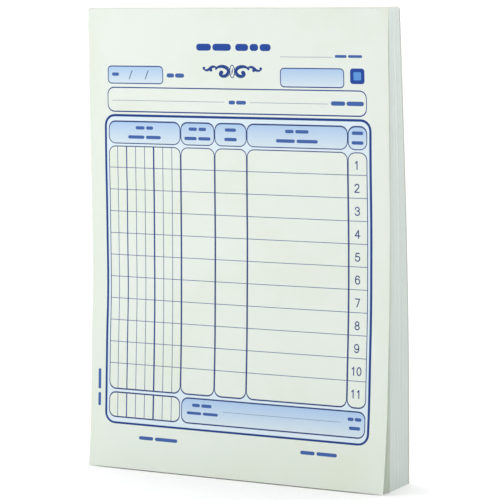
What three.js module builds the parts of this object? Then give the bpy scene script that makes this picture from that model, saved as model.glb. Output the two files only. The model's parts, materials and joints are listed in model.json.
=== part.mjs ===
// Invoice pad: one hundred A5 leaves glued at the head against a stiff card back.
//
// The pad stands on its foot. X runs across the page to the reader's right, Y from the printed
// front to the card back and Z up the page. The origin is the centre of the pad's box at the
// foot. Lengths are in millimetres.

import * as THREE from 'three';

// Leaves
const sheetWidth = 148;
const sheetHeight = 210;
const sheetThickness = 0.105;
const glueGap = 0.011; // adhesive and air between two leaves at the head
const leafCount = 100;
const looseLeafCount = 4; // leaves that have worked free of the block and turn one by one
const leavesPerLift = 2; // leaves of the block that still cling together
const trimScatter = 0.08; // how far a lift may fall short of the trimmed side

// Card back
const boardThickness = 1;

// Glue film over the head
const filmHeight = 1;
const filmFrontRound = 3.2;
const filmBackRound = 3.2;

// The block hangs back from the glued head and fans out towards the foot
const blockSag = 4.4; // fall of the block's front leaf
const blockSagLength = 140; // distance below the head where that fall ends
const fanSpread = 9.9; // air that the fan adds to the thickness at the foot
const backSagLength = 210; // distance below the head where the card's fall ends

// The loose leaves stand off the block and curl forward at the foot
const leafBow = 2.6;
const leafStandOff = 0.5;
const standOffLength = 6;
const curlLength = 45;
const curlRight = 2.2;
const curlLeft = 1;
const looseShare = 0.45; // share of the front leaf's shape that each next loose leaf keeps
const footClearance = 0.4; // the loose leaves end this far above the foot

// Facets
const rowsDownPage = 14;
const columnsAcrossLooseLeaf = 8;
const roundSegments = 6;

const leafPitch = sheetThickness + glueGap;
const liftCount = (leafCount - looseLeafCount) / leavesPerLift;
const liftThickness = leavesPerLift * leafPitch - glueGap;
const boardFront = leafCount * leafPitch;

const paper = new THREE.MeshStandardMaterial({ color: 0xe6eee6, roughness: 0.85, metalness: 0 });
const card = new THREE.MeshStandardMaterial({ color: 0xc9ccc6, roughness: 0.9, metalness: 0 });
const glue = new THREE.MeshStandardMaterial({ color: 0xe2e4df, roughness: 0.45, metalness: 0 });

// Fall of a leaf of the block at a share of its depth, 0 at the front leaf and 1 at the card.
function blockFall(share, drop) {
  const reach = blockSagLength + (backSagLength - blockSagLength) * share;
  const quarterTurn = (Math.PI / 2) * Math.min(1, drop / reach);
  return (blockSag + fanSpread * share) * Math.sin(quarterTurn);
}

// The front leaf is bowed between head and foot, and its right corner curls up most.
function frontLeafFall(drop, x) {
  const bow = leafBow * Math.sin((Math.PI * drop) / sheetHeight);
  const standOff = leafStandOff * (1 - Math.exp(-drop / standOffLength));
  const alongCurl = Math.max(0, (drop - sheetHeight + curlLength) / curlLength);
  const corner = curlLeft + (curlRight - curlLeft) * (x / sheetWidth + 0.5);
  return bow - standOff - corner * alongCurl ** 2;
}

// A loose leaf lies between the front leaf's shape and the block behind it.
function looseLeafDepth(index, drop, x) {
  const share = looseShare ** index;
  return index * leafPitch + share * frontLeafFall(drop, x) + (1 - share) * blockFall(0, drop);
}

const looseLeafHeight = sheetHeight - footClearance;
const foremost = looseLeafDepth(0, looseLeafHeight, sheetWidth / 2);
const hindmost = boardFront + boardThickness + blockFall(1, sheetHeight);
const middleDepth = (foremost + hindmost) / 2;

// A flat sheet hung from the head, bent so that its front face lies at depthAt(drop, x).
function hungSheet({ name, width, height, thickness, columns, depthAt, material }) {
  const geometry = new THREE.BoxGeometry(width, thickness, height, columns, 1, rowsDownPage);
  const corners = geometry.attributes.position;
  for (let i = 0; i < corners.count; i += 1) {
    const x = corners.getX(i);
    const drop = height / 2 - corners.getZ(i);
    const depth = depthAt(drop, x) + thickness / 2 + corners.getY(i);
    corners.setXYZ(i, x, depth, sheetHeight - drop);
  }
  geometry.computeVertexNormals();
  const sheet = new THREE.Mesh(geometry, material);
  sheet.name = name;
  return sheet;
}

function leafNumber(number) {
  return String(number).padStart(3, '0');
}

function looseLeaf(index) {
  return hungSheet({
    name: `leaf_${leafNumber(index + 1)}`,
    width: sheetWidth,
    height: looseLeafHeight,
    thickness: sheetThickness,
    columns: columnsAcrossLooseLeaf,
    depthAt: (drop, x) => looseLeafDepth(index, drop, x),
    material: paper,
  });
}

function lift(index) {
  const leavesInFront = looseLeafCount + index * leavesPerLift;
  const firstLeaf = leafNumber(leavesInFront + 1);
  const lastLeaf = leafNumber(leavesInFront + leavesPerLift);
  const scatter = trimScatter * (1 + Math.sin(2.4 * index));
  return hungSheet({
    name: `leaves_${firstLeaf}_${lastLeaf}`,
    width: sheetWidth - scatter,
    height: sheetHeight,
    thickness: liftThickness,
    columns: 1,
    depthAt: (drop) => leavesInFront * leafPitch + blockFall(index / liftCount, drop),
    material: paper,
  });
}

function backingBoard() {
  return hungSheet({
    name: 'backing_board',
    width: sheetWidth,
    height: sheetHeight,
    thickness: boardThickness,
    columns: 1,
    depthAt: (drop) => boardFront + blockFall(1, drop),
    material: card,
  });
}

// The film's section runs from the block's front leaf to the back of the card, with a round
// over the front leaves and one over the card.
function glueFilm() {
  const front = looseLeafCount * leafPitch;
  const back = boardFront + boardThickness;
  const section = new THREE.Shape();
  section.moveTo(back, 0);
  section.absellipse(back - filmBackRound, 0, filmBackRound, filmHeight, 0, Math.PI / 2);
  section.absellipse(
    front + filmFrontRound, 0, filmFrontRound, filmHeight, Math.PI / 2, Math.PI);
  section.lineTo(back, 0);
  const geometry = new THREE.ExtrudeGeometry(section, {
    depth: sheetWidth,
    bevelEnabled: false,
    curveSegments: roundSegments,
  });
  const film = new THREE.Mesh(geometry, glue);
  const sectionToPad = new THREE.Matrix4().makeBasis(
    new THREE.Vector3(0, 1, 0),
    new THREE.Vector3(0, 0, 1),
    new THREE.Vector3(1, 0, 0));
  film.quaternion.setFromRotationMatrix(sectionToPad);
  film.position.set(-sheetWidth / 2, 0, sheetHeight);
  film.name = 'glue_film';
  return film;
}

const pad = new THREE.Group();
pad.name = 'invoice_pad';
pad.position.y = -middleDepth;
for (let index = 0; index < looseLeafCount; index += 1) {
  pad.add(looseLeaf(index));
}
for (let index = 0; index < liftCount; index += 1) {
  pad.add(lift(index));
}
pad.add(backingBoard());
pad.add(glueFilm());

export default pad;
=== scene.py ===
# Invoice pad: a block of A5 forms glued along the head to a card back, standing on its foot.
# Lengths are in metres, apart from the printed form, which is laid out in millimetres.
import json
import math

import bmesh
import bpy
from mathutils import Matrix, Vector, noise
from mathutils.geometry import delaunay_2d_cdt


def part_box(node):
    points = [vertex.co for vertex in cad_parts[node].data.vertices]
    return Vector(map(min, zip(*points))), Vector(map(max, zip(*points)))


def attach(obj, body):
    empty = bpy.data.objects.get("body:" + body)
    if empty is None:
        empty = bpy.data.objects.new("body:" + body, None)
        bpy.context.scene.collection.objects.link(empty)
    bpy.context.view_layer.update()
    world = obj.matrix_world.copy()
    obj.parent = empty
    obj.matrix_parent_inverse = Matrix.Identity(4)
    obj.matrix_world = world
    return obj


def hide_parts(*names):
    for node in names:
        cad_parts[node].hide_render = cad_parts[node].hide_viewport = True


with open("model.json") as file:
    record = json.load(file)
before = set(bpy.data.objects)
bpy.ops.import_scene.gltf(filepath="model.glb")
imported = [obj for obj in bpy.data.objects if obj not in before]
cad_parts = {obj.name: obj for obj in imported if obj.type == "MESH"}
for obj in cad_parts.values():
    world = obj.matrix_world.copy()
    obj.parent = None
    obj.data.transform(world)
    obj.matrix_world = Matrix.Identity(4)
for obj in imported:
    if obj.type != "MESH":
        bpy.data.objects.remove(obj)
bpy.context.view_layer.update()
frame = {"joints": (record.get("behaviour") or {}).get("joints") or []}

# Camera
# It stands level with the head of the pad, to the right of it and well back, and looks
# slightly down, so that the front page and the trimmed right side both show.
CAMERA_PLACE = (0.4478, -0.8887, 0.2050)
CAMERA_TURN_DEG = 26.63
CAMERA_DIP_DEG = 5.89
CAMERA_LENS_MM = 160.4
CAMERA_SENSOR_MM = 36

camera_data = bpy.data.cameras.new("camera")
camera_data.lens = CAMERA_LENS_MM
camera_data.sensor_width = CAMERA_SENSOR_MM
camera = bpy.data.objects.new("camera", camera_data)
camera.location = CAMERA_PLACE
camera.rotation_euler = (math.radians(90 - CAMERA_DIP_DEG), 0, math.radians(CAMERA_TURN_DEG))
bpy.context.scene.collection.objects.link(camera)
bpy.context.scene.camera = camera

# Card back
# A plain pulp card, one millimetre thick, that the block is glued to at the head. It hangs
# back with the pad and bows a little across, and its cut edges show at the sides and the foot.
BOARD_THICKNESS = 0.001
CARD_COLUMNS = 12
CARD_ROWS = 60
CARD_GREY = (0.56, 0.58, 0.53)
LEAF_COUNT = 100
LEAF_PITCH = 0.000116
BLOCK_SAG = 0.0044
BLOCK_SAG_LENGTH = 0.140
FAN_SPREAD = 0.0099
BACK_SAG_LENGTH = 0.210
CROSS_BOW = 0.0003
CROSS_BOW_LENGTH = 0.090
FOLD_DEG = 40

board_low, board_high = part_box("backing_board")
SHEET_WIDTH = board_high.x - board_low.x
SHEET_HEIGHT = board_high.z
HEAD_FRONT = frame["joints"][0]["pos_m"][1]


# How far back the block hangs at a share of its depth, 0 at its front leaf and 1 at the card
def block_fall(share, drop):
    reach = BLOCK_SAG_LENGTH + (BACK_SAG_LENGTH - BLOCK_SAG_LENGTH) * share
    return (BLOCK_SAG + FAN_SPREAD * share) * math.sin(math.pi / 2 * min(1, drop / reach))


def cross_bow(drop, x):
    grown = math.sin(math.pi / 2 * min(1, drop / CROSS_BOW_LENGTH))
    return CROSS_BOW * grown * (1 - (2 * x / SHEET_WIDTH) ** 2)


def board_depth(drop, x):
    return HEAD_FRONT + LEAF_COUNT * LEAF_PITCH + block_fall(1, drop) - cross_bow(drop, x)


def piece_from(name, bm, material_list):
    mesh = bpy.data.meshes.new(name)
    bm.to_mesh(mesh)
    bm.free()
    for material in material_list:
        mesh.materials.append(material)
    piece = bpy.data.objects.new(name, mesh)
    bpy.context.scene.collection.objects.link(piece)
    return piece


def hung_panel(name, thickness, height, columns, rows, depth_at, material):
    bm = bmesh.new()
    layers = []
    for layer in range(2):
        grid = []
        for row in range(rows + 1):
            drop = height * row / rows
            line = []
            for column in range(columns + 1):
                x = SHEET_WIDTH * (column / columns - 0.5)
                y = depth_at(drop, x) + layer * thickness
                line.append(bm.verts.new((x, y, SHEET_HEIGHT - drop)))
            grid.append(line)
        layers.append(grid)
    front, back = layers
    for row in range(rows):
        below = row + 1
        for column in range(columns):
            right = column + 1
            bm.faces.new((front[row][column], front[below][column],
                          front[below][right], front[row][right]))
            bm.faces.new((back[row][column], back[row][right],
                          back[below][right], back[below][column]))
    for row in range(rows):
        below = row + 1
        bm.faces.new((front[row][0], back[row][0], back[below][0], front[below][0]))
        bm.faces.new((front[row][-1], front[below][-1], back[below][-1], back[row][-1]))
    for column in range(columns):
        right = column + 1
        bm.faces.new((front[0][column], front[0][right], back[0][right], back[0][column]))
        bm.faces.new((front[-1][column], back[-1][column], back[-1][right], front[-1][right]))
    piece = piece_from(name, bm, [material])
    piece.data.shade_smooth()
    piece.data.set_sharp_from_angle(angle=math.radians(FOLD_DEG))
    return piece


# Gives each socket its plain value, or links it
def feed(tree, sockets, values):
    for socket, value in zip(sockets, values):
        if isinstance(value, (int, float)):
            socket.default_value = value
        else:
            tree.links.new(value, socket)


def maths_in(tree):
    def maths(operation, *values):
        node = tree.nodes.new("ShaderNodeMath")
        node.operation = operation
        feed(tree, node.inputs, values)
        return node.outputs[0]

    return maths


# Paper grain: a faint mottle and a fine tooth, as uncoated paper and pulp card have. Card also
# carries darker fibre flecks that lie at mixed angles, each leaf of the block has its own slight
# tone, and a loose leaf yellows along its sides and foot and in a few stains.
MOTTLE_SCALE = 55
MOTTLE_DETAIL = 6
FIBRE_SCALE = 1500
FIBRE_DETAIL = 0
FIBRE_LENGTH = 3.5
FIBRE_TURNS = (0.35, 1.30, 2.45)
FIBRE_RANGE = (0.71, 0.81)
TOOTH_SCALE = 2600
TOOTH_DETAIL = 3
TOOTH_HEIGHT = 0.00004
SIDE_SHARPNESS = 24
FOOT_SHARPNESS = 5
EDGE_AGEING = 0.22
STAIN_AGEING = 0.6
STAIN_SCALE = 26
STAIN_DETAIL = 5
STAIN_RANGE = (0.5, 0.75)


def grain_group():
    group = bpy.data.node_groups.new("paper_grain", "ShaderNodeTree")
    face = group.interface
    for name, value in (("Mottle", 0.02), ("Flecks", 0.0), ("Leaf Tone", 0.05), ("Ageing", 0.0)):
        socket = face.new_socket(name, in_out="INPUT", socket_type="NodeSocketFloat")
        socket.default_value = value
    for name in ("Tone", "Height", "Aged"):
        face.new_socket(name, in_out="OUTPUT", socket_type="NodeSocketFloat")
    nodes, link = group.nodes, group.links.new
    maths = maths_in(group)
    given = nodes.new("NodeGroupInput")
    result = nodes.new("NodeGroupOutput")
    place = nodes.new("ShaderNodeTexCoord").outputs["Object"]

    def noise_at(scale, detail, where=place):
        node = nodes.new("ShaderNodeTexNoise")
        node.inputs["Scale"].default_value = scale
        node.inputs["Detail"].default_value = detail
        link(where, node.inputs["Vector"])
        return node.outputs["Fac"]

    def fibres(turn):
        mapping = nodes.new("ShaderNodeMapping")
        mapping.vector_type = "TEXTURE"
        mapping.inputs["Rotation"].default_value = (0, turn, 0)
        mapping.inputs["Scale"].default_value = (1, 1, FIBRE_LENGTH)
        link(place, mapping.inputs["Vector"])
        return noise_at(FIBRE_SCALE, FIBRE_DETAIL, mapping.outputs["Vector"])

    def spread(value, low, high):
        node = nodes.new("ShaderNodeMapRange")
        node.inputs["From Min"].default_value = low
        node.inputs["From Max"].default_value = high
        link(value, node.inputs["Value"])
        return node.outputs["Result"]

    broad = maths("SUBTRACT", noise_at(MOTTLE_SCALE, MOTTLE_DETAIL), 0.5)
    mottle = maths("MULTIPLY", broad, given.outputs["Mottle"])
    fleck = maths("MAXIMUM", fibres(FIBRE_TURNS[0]), fibres(FIBRE_TURNS[1]))
    fleck = maths("MAXIMUM", fleck, fibres(FIBRE_TURNS[2]))
    flecks = maths("MULTIPLY", spread(fleck, *FIBRE_RANGE), given.outputs["Flecks"])
    own = nodes.new("ShaderNodeAttribute")
    own.attribute_name = "leaf_tone"
    leaf_tone = maths("MULTIPLY", own.outputs["Fac"], given.outputs["Leaf Tone"])
    tone = maths("SUBTRACT", maths("ADD", maths("ADD", mottle, leaf_tone), 1), flecks)
    link(tone, result.inputs["Tone"])
    link(noise_at(TOOTH_SCALE, TOOTH_DETAIL), result.inputs["Height"])

    where = nodes.new("ShaderNodeSeparateXYZ")
    link(place, where.inputs[0])
    sideways = maths("MULTIPLY", maths("ABSOLUTE", where.outputs["X"]), 2 / SHEET_WIDTH)
    downwards = maths("MULTIPLY_ADD", where.outputs["Z"], -1 / SHEET_HEIGHT, 1)
    edges = maths("ADD", maths("POWER", sideways, SIDE_SHARPNESS), maths("POWER", downwards, FOOT_SHARPNESS))
    stains = spread(noise_at(STAIN_SCALE, STAIN_DETAIL), *STAIN_RANGE)
    aged = maths("ADD", maths("MULTIPLY", edges, EDGE_AGEING), maths("MULTIPLY", stains, STAIN_AGEING))
    aged = maths("MULTIPLY", aged, given.outputs["Ageing"])
    link(maths("MINIMUM", aged, 1), result.inputs["Aged"])
    return group


paper_grain = grain_group()


def grained_material(name, colour, roughness, mottle, bump, flecks=0.0, aged_to=None, fade_from=None):
    material = bpy.data.materials.new(name)
    material.use_nodes = True
    nodes, link = material.node_tree.nodes, material.node_tree.links.new
    shader = nodes["Principled BSDF"]
    shader.inputs["Roughness"].default_value = roughness
    shader.inputs["Specular IOR Level"].default_value = 0.3
    grain = nodes.new("ShaderNodeGroup")
    grain.node_tree = paper_grain
    grain.inputs["Mottle"].default_value = mottle
    grain.inputs["Flecks"].default_value = flecks
    tone = nodes.new("ShaderNodeMix")
    tone.data_type = "RGBA"
    tone.blend_type = "MULTIPLY"
    tone.inputs["Factor"].default_value = 1
    tone.inputs["A"].default_value = (*colour, 1)
    link(grain.outputs["Tone"], tone.inputs["B"])

    def blend(first, second, share):
        node = nodes.new("ShaderNodeMix")
        node.data_type = "RGBA"
        node.inputs["A"].default_value = (*first, 1)
        node.inputs["B"].default_value = (*second, 1)
        link(share, node.inputs["Factor"])
        link(node.outputs["Result"], tone.inputs["A"])

    if fade_from:
        fade = nodes.new("ShaderNodeAttribute")
        fade.attribute_name = "fade"
        blend(fade_from, colour, fade.outputs["Fac"])
    if aged_to:
        grain.inputs["Ageing"].default_value = 1
        blend(colour, aged_to, grain.outputs["Aged"])
    link(tone.outputs["Result"], shader.inputs["Base Color"])
    rise = nodes.new("ShaderNodeBump")
    rise.inputs["Strength"].default_value = bump
    rise.inputs["Distance"].default_value = TOOTH_HEIGHT
    link(grain.outputs["Height"], rise.inputs["Height"])
    link(rise.outputs["Normal"], shader.inputs["Normal"])
    return material


card = grained_material("pulp_card", CARD_GREY, roughness=0.9, mottle=0.07, bump=0.8, flecks=0.22)
board = hung_panel("card_back", BOARD_THICKNESS, SHEET_HEIGHT, CARD_COLUMNS, CARD_ROWS, board_depth, card)
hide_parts("backing_board")
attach(board, "block")

# Leaves of the block
# Writing paper, trimmed flush after gluing. Each lift is two leaves that still cling together,
# and all lifts come from one tree that hangs and bends as many leaves as it is asked for.
LEAF_THICKNESS = 0.000105
LOOSE_LEAVES = 4
LEAVES_PER_LIFT = 2
SIDE_SCATTER = 0.00005
UNEVEN = 0.00007
UNEVEN_WAVE = 0.8
UNEVEN_SHORT_WAVE = 2.1
SHORT_WAVE_SHARE = 0.3
BLOCK_COLUMNS = 8
BLOCK_ROWS = 42
LEAF_SEED = 7
BLOCK_WHITE = (0.785, 0.845, 0.805)
paper = grained_material("writing_paper", BLOCK_WHITE, roughness=0.8, mottle=0.03, bump=0.35)


def lift_tree():
    tree = bpy.data.node_groups.new("hung_leaves", "GeometryNodeTree")
    face = tree.interface
    lengths = {"Width": SHEET_WIDTH, "Height": SHEET_HEIGHT, "Thickness": LEAF_THICKNESS,
               "Pitch": LEAF_PITCH, "Head Front": HEAD_FRONT, "Sag": BLOCK_SAG,
               "Sag Length": BLOCK_SAG_LENGTH, "Fan": FAN_SPREAD, "Back Length": BACK_SAG_LENGTH,
               "Cross Bow": CROSS_BOW, "Cross Bow Length": CROSS_BOW_LENGTH, "Unevenness": UNEVEN,
               "Side Scatter": SIDE_SCATTER, "First Leaf": float(LOOSE_LEAVES + 1),
               "Leaves In Block": float(LEAF_COUNT - LOOSE_LEAVES)}
    for name, value in lengths.items():
        socket = face.new_socket(name, in_out="INPUT", socket_type="NodeSocketFloat")
        socket.default_value = value
    for name, value in (("Leaves", LEAVES_PER_LIFT), ("Seed", LEAF_SEED)):
        socket = face.new_socket(name, in_out="INPUT", socket_type="NodeSocketInt")
        socket.default_value = value
    face.new_socket("Material", in_out="INPUT", socket_type="NodeSocketMaterial")
    face.new_socket("Geometry", in_out="OUTPUT", socket_type="NodeSocketGeometry")
    nodes, link = tree.nodes, tree.links.new
    maths = maths_in(tree)
    take = nodes.new("NodeGroupInput").outputs

    def vector(*values):
        node = nodes.new("ShaderNodeCombineXYZ")
        feed(tree, node.inputs, values)
        return node.outputs[0]

    # Flat sheets, one to a leaf, each marked with its number in the lift
    points = nodes.new("GeometryNodeMeshLine")
    link(take["Leaves"], points.inputs["Count"])
    points.inputs["Offset"].default_value = (0, 0, 0)
    sheet = nodes.new("GeometryNodeMeshCube")
    link(vector(take["Width"], take["Thickness"], take["Height"]), sheet.inputs["Size"])
    sheet.inputs["Vertices X"].default_value = BLOCK_COLUMNS + 1
    sheet.inputs["Vertices Z"].default_value = BLOCK_ROWS + 1
    copies = nodes.new("GeometryNodeInstanceOnPoints")
    link(points.outputs["Mesh"], copies.inputs["Points"])
    link(sheet.outputs["Mesh"], copies.inputs["Instance"])
    mark = nodes.new("GeometryNodeStoreNamedAttribute")
    mark.domain = "INSTANCE"
    mark.data_type = "FLOAT"
    mark.inputs["Name"].default_value = "leaf"
    link(copies.outputs["Instances"], mark.inputs["Geometry"])
    link(nodes.new("GeometryNodeInputIndex").outputs[0], mark.inputs["Value"])
    real = nodes.new("GeometryNodeRealizeInstances")
    link(mark.outputs["Geometry"], real.inputs["Geometry"])

    # The fall, the bow across and the unevenness at each point
    leaf = nodes.new("GeometryNodeInputNamedAttribute")
    leaf.data_type = "FLOAT"
    leaf.inputs["Name"].default_value = "leaf"
    number = maths("ADD", leaf.outputs["Attribute"], take["First Leaf"])
    in_block = maths("SUBTRACT", number, LOOSE_LEAVES + 1)
    share = maths("DIVIDE", in_block, take["Leaves In Block"])
    place = nodes.new("ShaderNodeSeparateXYZ")
    link(nodes.new("GeometryNodeInputPosition").outputs[0], place.inputs[0])
    drop = maths("SUBTRACT", maths("DIVIDE", take["Height"], 2), place.outputs["Z"])
    more_reach = maths("SUBTRACT", take["Back Length"], take["Sag Length"])
    reach = maths("MULTIPLY_ADD", more_reach, share, take["Sag Length"])
    turn = maths("MULTIPLY", maths("MINIMUM", maths("DIVIDE", drop, reach), 1), math.pi / 2)
    sag = maths("MULTIPLY_ADD", take["Fan"], share, take["Sag"])
    fall = maths("MULTIPLY", sag, maths("SINE", turn))
    at_head = maths("MULTIPLY_ADD", maths("SUBTRACT", number, 0.5), take["Pitch"], take["Head Front"])
    grown = maths("MINIMUM", maths("DIVIDE", drop, take["Cross Bow Length"]), 1)
    grown = maths("SINE", maths("MULTIPLY", grown, math.pi / 2))
    from_middle = maths("DIVIDE", place.outputs["X"], maths("DIVIDE", take["Width"], 2))
    arch = maths("SUBTRACT", 1, maths("POWER", maths("ABSOLUTE", from_middle), 2))
    bowed = maths("MULTIPLY", maths("MULTIPLY", take["Cross Bow"], grown), arch)
    wave = maths("SINE", maths("MULTIPLY", number, UNEVEN_WAVE))
    short_wave = maths("SINE", maths("MULTIPLY", number, UNEVEN_SHORT_WAVE))
    wave = maths("MULTIPLY_ADD", short_wave, SHORT_WAVE_SHARE, wave)
    down = maths("SINE", maths("MULTIPLY", maths("DIVIDE", drop, take["Height"]), math.pi / 2))
    uneven = maths("MULTIPLY", maths("MULTIPLY", take["Unevenness"], wave), down)
    hang = maths("SUBTRACT", maths("ADD", fall, uneven), bowed)
    depth = maths("ADD", maths("ADD", at_head, hang), place.outputs["Y"])

    # Each leaf is trimmed a trace to one side and has its own tone
    shift = nodes.new("FunctionNodeRandomValue")
    shift.data_type = "FLOAT"
    link(maths("MULTIPLY", take["Side Scatter"], -1), shift.inputs[2])
    link(take["Side Scatter"], shift.inputs[3])
    link(number, shift.inputs["ID"])
    link(take["Seed"], shift.inputs["Seed"])
    lost = maths("DIVIDE", maths("MULTIPLY", take["Side Scatter"], 2), take["Width"])
    across = maths("MULTIPLY_ADD", place.outputs["X"], maths("SUBTRACT", 1, lost), shift.outputs[1])
    bent = nodes.new("GeometryNodeSetPosition")
    link(real.outputs["Geometry"], bent.inputs["Geometry"])
    link(vector(across, depth, maths("SUBTRACT", take["Height"], drop)), bent.inputs["Position"])
    shade = nodes.new("FunctionNodeRandomValue")
    shade.data_type = "FLOAT"
    shade.inputs[2].default_value = -1
    link(number, shade.inputs["ID"])
    link(take["Seed"], shade.inputs["Seed"])
    toned = nodes.new("GeometryNodeStoreNamedAttribute")
    toned.data_type = "FLOAT"
    toned.inputs["Name"].default_value = "leaf_tone"
    link(bent.outputs["Geometry"], toned.inputs["Geometry"])
    link(shade.outputs[1], toned.inputs["Value"])
    finish = nodes.new("GeometryNodeSetMaterial")
    link(toned.outputs["Geometry"], finish.inputs["Geometry"])
    link(take["Material"], finish.inputs["Material"])
    result = nodes.new("NodeGroupOutput")
    link(finish.outputs["Geometry"], result.inputs["Geometry"])
    return tree


hung_leaves = lift_tree()


def plain_leaves(name, first_leaf, leaves):
    start = bpy.data.objects.new(name + "_start", bpy.data.meshes.new(name + "_start"))
    bpy.context.scene.collection.objects.link(start)
    modifier = start.modifiers.new("leaves", "NODES")
    modifier.node_group = hung_leaves
    sockets = {item.name: item.identifier for item in hung_leaves.interface.items_tree}
    modifier[sockets["First Leaf"]] = float(first_leaf)
    modifier[sockets["Leaves"]] = leaves
    modifier[sockets["Material"]] = paper
    evaluated = start.evaluated_get(bpy.context.evaluated_depsgraph_get())
    made = bpy.data.meshes.new_from_object(evaluated)
    bpy.data.objects.remove(start)
    made.name = name
    made.attributes.remove(made.attributes["leaf"])
    piece = bpy.data.objects.new(name, made)
    bpy.context.scene.collection.objects.link(piece)
    return piece


# The foremost pair comes later, because its first leaf is printed
for first_leaf in range(LOOSE_LEAVES + 1 + LEAVES_PER_LIFT, LEAF_COUNT, LEAVES_PER_LIFT):
    node = f"leaves_{first_leaf:03d}_{first_leaf + 1:03d}"
    lift = plain_leaves(f"plain_{node}", first_leaf, LEAVES_PER_LIFT)
    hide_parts(node)
    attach(lift, "block")

# Glue film
# Dried white padding glue, brushed over the head in one coat. It is domed, with a round over
# the front leaves and one over the card, and the brush leaves it slightly uneven.
FILM_UNEVEN = 0.00022
BRUSH_ALONG = 60
BRUSH_ACROSS = 500
BRUSH_SEED = 2.0
FILM_STEPS = 74
FILM_ROUND_STEPS = 8
FILM_FLAT_STEPS = 10
FILM_FRONT_ROUND = 0.0032
FILM_BACK_ROUND = 0.0032
FILM_FOLD_DEG = 50
GLUE_WHITE = (0.73, 0.75, 0.69)
glue = grained_material("padding_glue", GLUE_WHITE, roughness=0.38, mottle=0.12, bump=0.4)
film_low, film_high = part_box("glue_film")
film_height = film_high.z - film_low.z


def film_section():
    points = []
    for step in range(FILM_ROUND_STEPS + 1):
        turn = math.pi / 2 * step / FILM_ROUND_STEPS
        points.append((film_low.y + FILM_FRONT_ROUND * (1 - math.cos(turn)), math.sin(turn)))
    flat = film_high.y - FILM_BACK_ROUND - film_low.y - FILM_FRONT_ROUND
    for step in range(1, FILM_FLAT_STEPS):
        points.append((film_low.y + FILM_FRONT_ROUND + flat * step / FILM_FLAT_STEPS, 1))
    for step in range(FILM_ROUND_STEPS + 1):
        turn = math.pi / 2 * (1 - step / FILM_ROUND_STEPS)
        points.append((film_high.y - FILM_BACK_ROUND * (1 - math.cos(turn)), math.sin(turn)))
    return points


def glue_film():
    bm = bmesh.new()
    section = film_section()
    rings = []
    for step in range(FILM_STEPS + 1):
        x = film_low.x + (film_high.x - film_low.x) * step / FILM_STEPS
        ring = []
        for y, rise in section:
            mark = noise.noise(Vector((x * BRUSH_ALONG, y * BRUSH_ACROSS, BRUSH_SEED)))
            brushed = FILM_UNEVEN * max(0, 0.5 + mark)
            z = film_low.z + rise * (film_height - brushed)
            ring.append(bm.verts.new((x, y, z)))
        rings.append(ring)
    for before, after in zip(rings, rings[1:]):
        for i in range(len(section)):
            j = (i + 1) % len(section)
            bm.faces.new((before[i], before[j], after[j], after[i]))
    bm.faces.new(rings[0][::-1])
    bm.faces.new(rings[-1])
    bmesh.ops.recalc_face_normals(bm, faces=bm.faces[:])
    film = piece_from("head_glue", bm, [glue])
    film.data.shade_smooth()
    film.data.set_sharp_from_angle(angle=math.radians(FILM_FOLD_DEG))
    return film


film = glue_film()
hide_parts("glue_film")
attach(film, "block")

# Printed leaves
# Single sheets of writing paper, printed in blue before gluing. The four front leaves have
# worked free of the glue, and each turns up by itself. Their fronts are cut into areas of ink.
MM = 0.001
leaf_low, leaf_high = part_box("leaf_001")
PAGE_WIDTH_MM = SHEET_WIDTH / MM
PAGE_HEIGHT_MM = (leaf_high.z - leaf_low.z) / MM

# The form is laid out flat, in millimetres from the page's left edge and its head
FORM_WHITE = (0.79, 0.85, 0.79)
AGED_PAPER = (0.745, 0.805, 0.665)
INK_NAVY = (0.0015, 0.0400, 0.235)
INK_SOFT = (0.045, 0.118, 0.380)
INK_BLUE = (0.0040, 0.0520, 0.320)
INK_SLATE = (0.020, 0.052, 0.200)
INK_RULE = (0.098, 0.140, 0.310)
TINT_BLUE = (0.41, 0.585, 0.835)
TINT_PALE = (0.68, 0.79, 0.85)
MARGIN_TINT = (0.72, 0.83, 0.90)
PANEL_BLUE = (0.10, 0.30, 0.70)

PLAIN, NAVY, BLUE, SLATE, RULE, TINT, MARGIN, PANEL, SOFT = range(9)
form_materials = [
    grained_material("form_paper", FORM_WHITE, roughness=0.8, mottle=0.03, bump=0.35, aged_to=AGED_PAPER),
    grained_material("form_navy", INK_NAVY, roughness=0.5, mottle=0.05, bump=0.3),
    grained_material("form_blue", INK_BLUE, roughness=0.5, mottle=0.05, bump=0.3),
    grained_material("form_slate", INK_SLATE, roughness=0.55, mottle=0.05, bump=0.3),
    grained_material("form_rule", INK_RULE, roughness=0.6, mottle=0.05, bump=0.3),
    grained_material("form_tint", TINT_BLUE, roughness=0.7, mottle=0.03, bump=0.35, fade_from=TINT_PALE),
    grained_material("form_margin", MARGIN_TINT, roughness=0.75, mottle=0.03, bump=0.35),
    grained_material("form_panel", PANEL_BLUE, roughness=0.6, mottle=0.05, bump=0.3),
    grained_material("form_soft", INK_SOFT, roughness=0.6, mottle=0.05, bump=0.3),
]
printed = []
tinted_boxes = []


# Lays an area of ink over what is already printed
def lay(colour, outline):
    printed.append((colour, outline))


def rounded(left, top, right, bottom, radius, steps=5):
    corners = ((right - radius, top + radius, -90), (right - radius, bottom - radius, 0),
               (left + radius, bottom - radius, 90), (left + radius, top + radius, 180))
    outline = []
    for x, drop, start in corners:
        for step in range(steps + 1):
            turn = math.radians(start + 90 * step / steps)
            outline.append((x + radius * math.cos(turn), drop + radius * math.sin(turn)))
    return outline


def bar(left, top, right, bottom):
    return [(left, top), (right, top), (right, bottom), (left, bottom)]


# A rounded box with its own line weights at the sides, above and below
def box(left, top, right, bottom, radius, lines, colour, fill):
    side, upper, lower = lines
    lay(colour, rounded(left, top, right, bottom, radius))
    lay(fill, rounded(left + side, top + upper, right - side, bottom - lower, radius - side))
    if fill == TINT:
        tinted_boxes.append((left, top, right, bottom))


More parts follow.
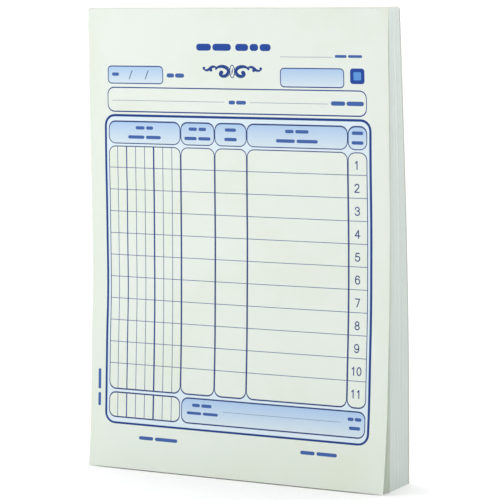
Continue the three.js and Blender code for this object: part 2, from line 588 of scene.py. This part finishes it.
# A heavy frame round a table with rounded cells
FRAME_LEFT, FRAME_RIGHT = 7.65, 139.95
FRAME_TOP, FRAME_BOTTOM = 47.35, 189.45
FRAME_LINES = (1.1, 1.1, 0.95)
FRAME_ROUND = 5.1
COLUMNS = (9.75, 46.7, 63.85, 79.85, 128.75, 137.9)
HEADER_TOP, HEADER_BOTTOM = 50.25, 60.75
BODY_TOP, BODY_BOTTOM = 61.65, 173.55
TOTAL_TOP, TOTAL_BOTTOM = 174.6, 186.55
CELL_ROUND = 3.4
HEADER_LINES = (0.40, 0.68, 0.45)
BODY_LINES = (0.40, 0.45, 0.66)
TOTAL_LINES = (0.42, 0.66, 0.64)
FIRST_ROW = 71.57
ROW_PITCH = 9.99
ROW_LINES = 10
RULE_LINE = 0.31
DIGIT_COLUMNS = 8
DIGIT_PITCH = 4.65
DIGIT_SHIFT = 0.1
LIGHT_LINE = 0.33
HEAVY_LINES = {2: 0.55, 5: 0.75}
TOTAL_GAP = 0.6

box(FRAME_LEFT, FRAME_TOP, FRAME_RIGHT, FRAME_BOTTOM, FRAME_ROUND, FRAME_LINES, NAVY, MARGIN)
for left, right in zip(COLUMNS, COLUMNS[1:]):
    box(left, HEADER_TOP, right, HEADER_BOTTOM, CELL_ROUND, HEADER_LINES, SLATE, TINT)
    box(left, BODY_TOP, right, BODY_BOTTOM, CELL_ROUND, BODY_LINES, SLATE, PLAIN)
box(COLUMNS[0], TOTAL_TOP, COLUMNS[1], TOTAL_BOTTOM, CELL_ROUND, TOTAL_LINES, SLATE, PLAIN)
box(COLUMNS[1] + TOTAL_GAP, TOTAL_TOP, COLUMNS[-1], TOTAL_BOTTOM, CELL_ROUND, TOTAL_LINES, SLATE, TINT)

for row in range(ROW_LINES):
    top = FIRST_ROW + ROW_PITCH * row - RULE_LINE / 2
    for left, right in zip(COLUMNS, COLUMNS[1:]):
        lay(RULE, bar(left + BODY_LINES[0], top, right - BODY_LINES[0], top + RULE_LINE))
for top, bottom in ((BODY_TOP, BODY_BOTTOM), (TOTAL_TOP, TOTAL_BOTTOM)):
    for digit in range(1, DIGIT_COLUMNS):
        x = COLUMNS[0] + DIGIT_PITCH * digit - DIGIT_SHIFT
        half = HEAVY_LINES.get(digit, LIGHT_LINE) / 2
        ink = NAVY if digit in HEAVY_LINES else RULE
        lay(ink, bar(x - half, top + BODY_LINES[1], x + half, bottom - BODY_LINES[2]))

# Two small boxes and a wide one above the table, and the lines to write on
SMALL_ROUND = 1.9
LEFT_BOX = (9.7, 25.4, 38.4, 33.6)
LEFT_LINES = (0.42, 0.50, 0.46)
RIGHT_BOX = (96.6, 25.6, 127.3, 34.2)
RIGHT_LINES = (0.42, 0.47, 0.50)
WIDE_BOX = (9.3, 35.0, 137.8, 46.4)
WIDE_LINES = (0.39, 0.52, 0.58)
SLANTS = ((20.5, 22.2), (28.8, 30.5))
SLANT_FOOT, SLANT_HEAD = 31.5, 27.5
SLANT_LINE = 0.45
WRITING_LINES = ((96.9, 121.8, 20.9), (11.8, 69.0, 41.1), (81.9, 119.6, 41.1), (68.5, 126.1, 180.0))
WRITING_HALF = 0.09

box(*LEFT_BOX, SMALL_ROUND, LEFT_LINES, NAVY, TINT)
box(*RIGHT_BOX, SMALL_ROUND, RIGHT_LINES, NAVY, TINT)
box(*WIDE_BOX, CELL_ROUND, WIDE_LINES, NAVY, PLAIN)
for foot, head in SLANTS:
    lay(SLATE, [(foot, SLANT_FOOT), (foot + SLANT_LINE, SLANT_FOOT),
                (head + SLANT_LINE, SLANT_HEAD), (head, SLANT_HEAD)])
for left, right, drop in WRITING_LINES:
    lay(RULE, bar(left, drop - WRITING_HALF, right, drop + WRITING_HALF))

# Rows of plain bars, each given by its left end, its middle, the lengths of its bars, their
# height and the gap between them
BAR_ROUND = 0.45
BAR_CORNER_STEPS = 3
TOP_ROWS = ((55.5, 16.9, (7.4, 9.2), 3.1, 0.7), (74.9, 16.9, (6.4, 4.2, 5.4), 3.1, 0.7))
UPPER_ROWS = ((123.0, 20.5, (5.6, 6.6), 1.2, 0.7), (11.9, 29.3, (3.6,), 1.5, 0.8),
              (40.2, 29.6, (3.8, 4.6), 1.9, 0.5), (71.2, 41.2, (3.2, 4.9), 1.7, 0.5),
              (120.8, 40.8, (6.8, 8.2), 1.9, 0.6))
HEADER_DROPS = (53.4, 57.6)
HEADER_BARS = (((4.6, 3.6), (8.4, 7.6)), ((4.2, 3.8), (6.2, 6.2)), ((5.6,), (6.2,)),
               ((4.2, 6.4), (9.2, 10.2)), ((5.4,), (5.6,)))
HEADER_BAR_HEIGHT = 1.5
HEADER_BAR_GAP = 0.8
LOWER_ROWS = ((52.8, 178.0, (4.0, 5.2), 1.5, 0.7), (50.2, 181.6, (7.4, 7.6), 1.3, 0.8),
              (129.4, 178.3, (2.9, 3.2), 1.5, 0.5), (130.2, 182.2, (5.4,), 1.5, 0.5),
              (25.9, 195.0, (7.4, 11.6), 1.6, 0.9), (107.4, 194.7, (7.0, 9.8), 1.6, 0.9))
SIDE_BARS = ((3.9, 164.6, 5.3, 174.0), (3.9, 175.6, 5.3, 181.8))
SIDE_BAR_ROUND = 0.6


def bar_row(left, middle, lengths, height, gap, colour=SOFT):
    x = left
    for length in lengths:
        top, bottom = middle - height / 2, middle + height / 2
        lay(colour, rounded(x, top, x + length, bottom, height * BAR_ROUND, BAR_CORNER_STEPS))
        x += length + gap


for row in TOP_ROWS:
    bar_row(*row, BLUE)
for row in UPPER_ROWS:
    bar_row(*row)
for left, right, lines in zip(COLUMNS, COLUMNS[1:], HEADER_BARS):
    for drop, lengths in zip(HEADER_DROPS, lines):
        width = sum(lengths) + HEADER_BAR_GAP * (len(lengths) - 1)
        bar_row((left + right - width) / 2, drop, lengths, HEADER_BAR_HEIGHT, HEADER_BAR_GAP)
for row in LOWER_ROWS:
    bar_row(*row)
for side_bar in SIDE_BARS:
    lay(SOFT, rounded(*side_bar, SIDE_BAR_ROUND, BAR_CORNER_STEPS))

# Scroll ornament: a pair of volutes about a spindle, each with a wave that runs out into a
# small curl. Curves are given by their control points, from the spindle's middle.
SCROLL_X, SCROLL_DROP = 73.25, 27.5
VOLUTE = ((8.3, -0.7), (7.6, -1.9), (6.2, -2.3), (4.8, -2.2), (3.0, -2.0), (1.7, -1.2),
          (1.7, 0.0), (1.8, 1.4), (3.2, 2.2), (4.5, 2.2), (5.7, 2.1), (6.5, 1.5), (6.2, 0.6))
WAVE = ((7.6, -1.3), (8.6, -2.4), (10.0, -2.3), (11.0, -1.2),
        (11.8, -0.4), (13.0, -0.1), (13.9, -0.7))
CURL = ((13.9, -0.7), (14.4, -1.1), (14.4, -1.6), (13.9, -1.7))
DROP_LEAF = ((11.2, -1.0), (10.9, -0.2), (10.3, -0.1), (10.0, -0.6))
SCROLL_STROKES = ((VOLUTE, 6, 0.75, 1.8), (WAVE, 6, 0.65, 1.35), (CURL, 4, 0.65, 1.1),
                  (DROP_LEAF, 4, 0.65, 1.2))
SCROLL_BEADS = ((5.4, 0.55, 1.05, 0.95), (13.9, -1.45, 0.55, 0.5), (10.45, -0.6, 0.6, 0.55))
SPINDLE_OUTSIDE = (1.35, 3.0)
SPINDLE_INSIDE = (0.9, 2.55)
SPINDLE_SLASH = ((0.35, -1.7), (0.3, 0.2), (-0.35, 1.7), (-0.3, -0.2))
SPINDLE_STEPS = 24
JOINT_STEPS = 8


# A line through the points that is as wide at each as its width says
def stroke(colour, points, widths):
    ends = list(zip(points, widths))
    for ((x0, y0), w0), ((x1, y1), w1) in zip(ends, ends[1:]):
        length = math.hypot(x1 - x0, y1 - y0)
        across, down = -(y1 - y0) / length / 2, (x1 - x0) / length / 2
        lay(colour, [(x0 + across * w0, y0 + down * w0), (x1 + across * w1, y1 + down * w1),
                     (x1 - across * w1, y1 - down * w1), (x0 - across * w0, y0 - down * w0)])


def disc(x, drop, radius_x, radius_y, steps=12):
    turns = [2 * math.pi * step / steps for step in range(steps)]
    return [(x + radius_x * math.cos(t), drop + radius_y * math.sin(t)) for t in turns]


def swell(steps, thin, thick):
    return [thin + (thick - thin) * math.sin(math.pi * step / steps) for step in range(steps + 1)]


def curve(controls, steps):
    points = []
    for start in range(0, len(controls) - 1, 3):
        part = controls[start:start + 4]
        for step in range(0 if start == 0 else 1, steps + 1):
            t = step / steps
            weights = ((1 - t) ** 3, 3 * t * (1 - t) ** 2, 3 * t * t * (1 - t), t**3)
            points.append(tuple(sum(w * c[axis] for w, c in zip(weights, part)) for axis in (0, 1)))
    return points


for side in (-1, 1):
    for controls, steps, thin, thick in SCROLL_STROKES:
        placed = [(SCROLL_X + side * x, SCROLL_DROP + y) for x, y in curve(controls, steps)]
        stroke(NAVY, placed, swell(len(placed) - 1, thin, thick))
        for x, y in placed[1:-1]:
            lay(NAVY, disc(x, y, thin / 2, thin / 2, JOINT_STEPS))
    for x, drop, radius_x, radius_y in SCROLL_BEADS:
        lay(NAVY, disc(SCROLL_X + side * x, SCROLL_DROP + drop, radius_x, radius_y))
lay(SLATE, disc(SCROLL_X, SCROLL_DROP, *SPINDLE_OUTSIDE, SPINDLE_STEPS))
lay(PLAIN, disc(SCROLL_X, SCROLL_DROP, *SPINDLE_INSIDE, SPINDLE_STEPS))
lay(SLATE, [(SCROLL_X + x, SCROLL_DROP + y) for x, y in SPINDLE_SLASH])

# A plain square mark beside the right box
MARK_OUTSIDE = (130.1, 25.6, 136.9, 32.3)
MARK_INSIDE = (131.7, 27.2, 135.3, 30.7)
MARK_OUTER_ROUND, MARK_INNER_ROUND = 1.3, 0.6

lay(BLUE, rounded(*MARK_OUTSIDE, MARK_OUTER_ROUND))
lay(PANEL, rounded(*MARK_INSIDE, MARK_INNER_ROUND))

# Row numbers, drawn as single strokes with round joints
NUMERAL_LINE = 0.5
NUMERAL_SPACING = 2.7
NUMERAL_LEFT = 0.4
NUMERAL_BELOW = 0.7
NUMERAL_STEPS = 6
RING_STEPS = 16
FLAG = ((-0.55, -0.95), (0.15, -1.7), (0.15, 1.75))
BOWL = ((1.0, 0.65), (1.0, 1.35), (0.55, 1.75), (0, 1.75), (-0.55, 1.75), (-0.95, 1.45), (-1.0, 1.0))
LOOP = ((0.9, -1.1), (0.75, -1.6), (0.3, -1.75), (0.05, -1.75), (-0.7, -1.75), (-1.0, -0.9), (-1.0, 0.15),
        (-1.0, 1.2), (-0.6, 1.75), (0.05, 1.75), (0.6, 1.75), (1.0, 1.3), (1.0, 0.65), (1.0, 0.0),
        (0.6, -0.45), (0.05, -0.45), (-0.4, -0.45), (-0.9, -0.1), (-1.0, 0.5))
SHOULDER = ((-0.9, -0.9), (-0.9, -1.4), (-0.5, -1.75), (0, -1.75), (0.6, -1.75), (0.95, -1.4), (0.95, -0.9))


def ring(x, y, radius_x, radius_y):
    turns = [2 * math.pi * step / RING_STEPS for step in range(RING_STEPS + 1)]
    return [(x + radius_x * math.cos(t), y + radius_y * math.sin(t)) for t in turns]


numeral_strokes = {
    "0": [ring(0, 0, 0.95, 1.75)],
    "1": [FLAG],
    "2": [curve(SHOULDER + ((0.95, -0.1), (-0.5, 0.8), (-1.0, 1.7)), NUMERAL_STEPS),
          ((-1.0, 1.7), (1.0, 1.7))],
    "3": [curve(SHOULDER + ((0.95, -0.4), (0.4, -0.15), (-0.2, -0.15)), NUMERAL_STEPS),
          curve(((-0.2, -0.15), (0.6, -0.15), (1.0, 0.1)) + BOWL, NUMERAL_STEPS)],
    "4": [((0.45, 1.75), (0.45, -1.7), (-1.1, 0.7), (1.1, 0.7))],
    "5": [((0.85, -1.65), (-0.65, -1.65), (-0.85, 0.0)),
          curve(((-0.85, 0.0), (-0.4, -0.55), (1.0, -0.6)) + BOWL, NUMERAL_STEPS)],
    "6": [curve(LOOP, NUMERAL_STEPS)],
    "7": [((-1.0, -1.65), (1.0, -1.65), (-0.2, 1.75))],
    "8": [ring(0, -0.87, 0.8, 0.85), ring(0, 0.86, 1.0, 0.89)],
    "9": [curve(tuple((-x, -y) for x, y in LOOP), NUMERAL_STEPS)],
}
for row in range(ROW_LINES + 1):
    digits = str(row + 1)
    middle_x = (COLUMNS[-2] + COLUMNS[-1]) / 2 - NUMERAL_LEFT
    middle_drop = FIRST_ROW + ROW_PITCH * (row - 0.5) + NUMERAL_BELOW
    for place, digit in enumerate(digits):
        x0 = middle_x + NUMERAL_SPACING * (place - (len(digits) - 1) / 2)
        for points in numeral_strokes[digit]:
            placed = [(x0 + x, middle_drop + y) for x, y in points]
            stroke(SLATE, placed, [NUMERAL_LINE] * len(placed))
            for x, y in placed:
                lay(SLATE, disc(x, y, NUMERAL_LINE / 2, NUMERAL_LINE / 2, JOINT_STEPS))


# The loose leaves stand off the block, bow between head and foot, and curl forward at the foot,
# most at the right
LEAF_BOW = 0.0026
LEAF_STAND_OFF = 0.0005
STAND_OFF_LENGTH = 0.006
CURL_LENGTH = 0.045
CURL_RIGHT = 0.0022
CURL_LEFT = 0.0010
CURL_LEFT_MORE = 0.0006
RIGHT_BOW = 0.0010
RIPPLE = 0.0014
RIPPLE_GROWTH = 0.040
RIPPLE_ACROSS = 18
RIPPLE_DOWN = 26
RIPPLE_SEED = 0.3
RIPPLE_IN_MIDDLE = 0.25
LOOSE_SHARE = 0.45
GRID_STEP_MM = 5.0
GRID_ACROSS = round(PAGE_WIDTH_MM / GRID_STEP_MM)
GRID_DOWN = round(PAGE_HEIGHT_MM / GRID_STEP_MM)
KEEP_INSIDE = 1
MERGE_WITHIN_MM = 1e-4
ON_EDGE_MM = 1e-3


def front_leaf_fall(drop, x):
    bow = LEAF_BOW * math.sin(math.pi * drop / SHEET_HEIGHT)
    stand_off = LEAF_STAND_OFF * (1 - math.exp(-drop / STAND_OFF_LENGTH))
    along_curl = max(0, (drop - SHEET_HEIGHT + CURL_LENGTH) / CURL_LENGTH)
    corner = CURL_LEFT + (CURL_RIGHT - CURL_LEFT) * (x / SHEET_WIDTH + 0.5)
    return bow - stand_off - corner * along_curl**2


# The soft sheet is wavy, most at its sides, and its right side bows more than its left
def ripple(drop, x):
    from_middle = abs(2 * x / SHEET_WIDTH)
    wave = noise.noise(Vector((x * RIPPLE_ACROSS, drop * RIPPLE_DOWN, RIPPLE_SEED)))
    room = min(1, drop / RIPPLE_GROWTH, (SHEET_HEIGHT - drop) / RIPPLE_GROWTH)
    wavy = RIPPLE * wave * room * (RIPPLE_IN_MIDDLE + (1 - RIPPLE_IN_MIDDLE) * from_middle**2)
    sideways = RIGHT_BOW * (0.5 + x / SHEET_WIDTH) * math.sin(math.pi * (drop / SHEET_HEIGHT) ** 2)
    curled = CURL_LEFT_MORE * (0.5 - x / SHEET_WIDTH) ** 2 * (drop / SHEET_HEIGHT) ** 6
    return wavy + sideways - curled


# Each loose leaf keeps a smaller share of the front leaf's shape than the one before it
def leaf_depth(number, drop, x):
    share = LOOSE_SHARE ** (number - 1) if number <= LOOSE_LEAVES else 0
    loose = front_leaf_fall(drop, x) + ripple(drop, x)
    fall = share * loose + (1 - share) * block_fall(0, drop) - cross_bow(drop, x)
    return HEAD_FRONT + (number - 1) * LEAF_PITCH + fall


def page_rim():
    rim = [(PAGE_WIDTH_MM * i / GRID_ACROSS, 0) for i in range(GRID_ACROSS)]
    rim += [(PAGE_WIDTH_MM, PAGE_HEIGHT_MM * i / GRID_DOWN) for i in range(GRID_DOWN)]
    rim += [(PAGE_WIDTH_MM * (1 - i / GRID_ACROSS), PAGE_HEIGHT_MM) for i in range(GRID_ACROSS)]
    rim += [(0, PAGE_HEIGHT_MM * (1 - i / GRID_DOWN)) for i in range(GRID_DOWN)]
    return rim


# Lines that the triangles keep to, so that a long thin area of ink follows the page's bend
def page_grid():
    columns = [PAGE_WIDTH_MM * i / GRID_ACROSS for i in range(1, GRID_ACROSS)]
    rows = [PAGE_HEIGHT_MM * i / GRID_DOWN for i in range(1, GRID_DOWN)]
    return ([((x, 0), (x, PAGE_HEIGHT_MM)) for x in columns]
            + [((0, drop), (PAGE_WIDTH_MM, drop)) for drop in rows])


def inside(point, outline):
    within = False
    for (x0, y0), (x1, y1) in zip(outline, outline[1:] + outline[:1]):
        if (y0 > point[1]) != (y1 > point[1]):
            within ^= point[0] < x0 + (x1 - x0) * (point[1] - y0) / (y1 - y0)
    return within


# The page cut into triangles along every outline, each triangle with the ink laid last on it
def page_triangles(layers):
    rim = page_rim()
    flat = [Vector(point) for point in rim]
    edges, extents = [], []
    for ends in page_grid():
        edges.append((len(flat), len(flat) + 1))
        flat += [Vector(end) for end in ends]
    for _, outline in layers:
        first, count = len(flat), len(outline)
        flat += [Vector(point) for point in outline]
        edges += [(first + i, first + (i + 1) % count) for i in range(count)]
        across, down = zip(*outline)
        extents.append((min(across), max(across), min(down), max(down)))
    outside = [list(range(len(rim)))]
    corners, _, triangles, *_ = delaunay_2d_cdt(flat, edges, outside, KEEP_INSIDE, MERGE_WITHIN_MM, False)
    inks = []
    for triangle in triangles:
        middle = sum((corners[index] for index in triangle), Vector((0, 0))) / 3
        ink = PLAIN
        for (colour, outline), (left, right, top, bottom) in zip(layers[::-1], extents[::-1]):
            if left < middle.x < right and top < middle.y < bottom and inside(middle, outline):
                ink = colour
                break
        inks.append(ink)
    return corners, triangles, inks


front_flat = page_triangles(printed)
back_flat = page_triangles([])


# The tint is full at the top of its box and fades towards the bottom
def fade_at(x, drop):
    for left, top, right, bottom in tinted_boxes:
        if left <= x <= right and top <= drop <= bottom:
            return min(1, max(0, 1 - (drop - top) / (bottom - top)))
    return 0.0


def printed_leaf(number):
    bm = bmesh.new()
    fade = bm.verts.layers.float.new("fade")
    rims = []
    for side, (corners, triangles, inks) in enumerate((front_flat, back_flat)):
        verts = []
        for corner in corners:
            x, drop = (corner.x - PAGE_WIDTH_MM / 2) * MM, corner.y * MM
            y = leaf_depth(number, drop, x) + side * LEAF_THICKNESS
            vert = bm.verts.new((x, y, SHEET_HEIGHT - drop))
            vert[fade] = fade_at(corner.x, corner.y) if side == 0 else 0.0
            verts.append(vert)
        for triangle, ink in zip(triangles, inks):
            a, b, c = (verts[index] for index in triangle)
            normal_y = (b.co.x - a.co.x) * (c.co.z - a.co.z) - (b.co.z - a.co.z) * (c.co.x - a.co.x)
            facing_front = normal_y > 0
            face = bm.faces.new((a, b, c) if facing_front == (side == 0) else (a, c, b))
            face.material_index = ink
        rim = {}
        for vert, corner in zip(verts, corners):
            on_side = min(corner.x, PAGE_WIDTH_MM - corner.x) < ON_EDGE_MM
            on_end = min(corner.y, PAGE_HEIGHT_MM - corner.y) < ON_EDGE_MM
            if on_side or on_end:
                rim[(round(corner.x, 2), round(corner.y, 2))] = vert
        rims.append(rim)
    outline = [(round(x, 2), round(drop, 2)) for x, drop in page_rim()]
    for here, there in zip(outline, outline[1:] + outline[:1]):
        bm.faces.new((rims[0][here], rims[0][there], rims[1][there], rims[1][here]))
    bmesh.ops.recalc_face_normals(bm, faces=bm.faces[:])
    piece = piece_from(f"printed_leaf_{number:03d}", bm, form_materials)
    piece.data.shade_smooth()
    piece.data.set_sharp_from_angle(angle=math.radians(FOLD_DEG))
    return piece


leaf_bodies = ("front_leaf", "second_leaf", "third_leaf", "fourth_leaf")
for number, body in enumerate(leaf_bodies, 1):
    leaf = printed_leaf(number)
    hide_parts(f"leaf_{number:03d}")
    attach(leaf, body)

# Front pair of the block
# The fifth leaf is the first that still sits in the block. It is printed, and it shows once
# the loose leaves are turned up; the sixth lies behind it.
block_front = printed_leaf(LOOSE_LEAVES + 1)
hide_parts("leaves_005_006")
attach(block_front, "block")
behind_front = plain_leaves("plain_leaf_006", LOOSE_LEAVES + 2, 1)
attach(behind_front, "block")

# Studio
# A wide pale floor under soft light from all round, brighter behind and to the left, with a
# small soft key near the head of the page.
FLOOR_SIZE = 900.0
FLOOR_WHITE = 0.98
KEY_PLACE = (-0.30, -0.30, 0.30)
KEY_AIM = (0, 0, 0.15)
KEY_SIZE = 0.22
KEY_POWER = 0.30
OVERHEAD_STRENGTH = 0.90
OVERHEAD_SPREAD_DEG = 100.0
SKY_STRENGTH = 0.88
SKY_FROM_LEFT = 0.18
SKY_FROM_BEHIND = 0.43

bm = bmesh.new()
bmesh.ops.create_grid(bm, x_segments=2, y_segments=2, size=FLOOR_SIZE / 2)
floor_material = bpy.data.materials.new("floor")
floor_material.use_nodes = True
floor_shader = floor_material.node_tree.nodes["Principled BSDF"]
floor_shader.inputs["Base Color"].default_value = (FLOOR_WHITE, FLOOR_WHITE, FLOOR_WHITE, 1)
floor_shader.inputs["Roughness"].default_value = 1
floor_shader.inputs["Specular IOR Level"].default_value = 0
floor = piece_from("floor", bm, [floor_material])

key_data = bpy.data.lights.new("key", "AREA")
key_data.shape = "DISK"
key_data.size = KEY_SIZE
key_data.energy = KEY_POWER
key = bpy.data.objects.new("key", key_data)
key.location = KEY_PLACE
key.rotation_euler = (Vector(KEY_AIM) - Vector(KEY_PLACE)).to_track_quat("-Z", "Y").to_euler()
bpy.context.scene.collection.objects.link(key)

overhead_data = bpy.data.lights.new("overhead", "SUN")
overhead_data.energy = OVERHEAD_STRENGTH
overhead_data.angle = math.radians(OVERHEAD_SPREAD_DEG)
overhead = bpy.data.objects.new("overhead", overhead_data)
bpy.context.scene.collection.objects.link(overhead)

world = bpy.data.worlds.new("studio")
world.use_nodes = True
sky_nodes, sky_link = world.node_tree.nodes, world.node_tree.links.new
sky_place = sky_nodes.new("ShaderNodeTexCoord")
sky_side = sky_nodes.new("ShaderNodeVectorMath")
sky_side.operation = "DOT_PRODUCT"
sky_side.inputs[1].default_value = (-SKY_FROM_LEFT, SKY_FROM_BEHIND, 0)
sky_link(sky_place.outputs["Generated"], sky_side.inputs[0])
sky_level = sky_nodes.new("ShaderNodeMath")
sky_level.operation = "ADD"
sky_level.inputs[1].default_value = SKY_STRENGTH
sky_link(sky_side.outputs["Value"], sky_level.inputs[0])
sky_nodes["Background"].inputs["Color"].default_value = (1, 1, 1, 1)
sky_link(sky_level.outputs[0], sky_nodes["Background"].inputs["Strength"])
bpy.context.scene.world = world
bpy.context.scene.view_settings.view_transform = "Standard"
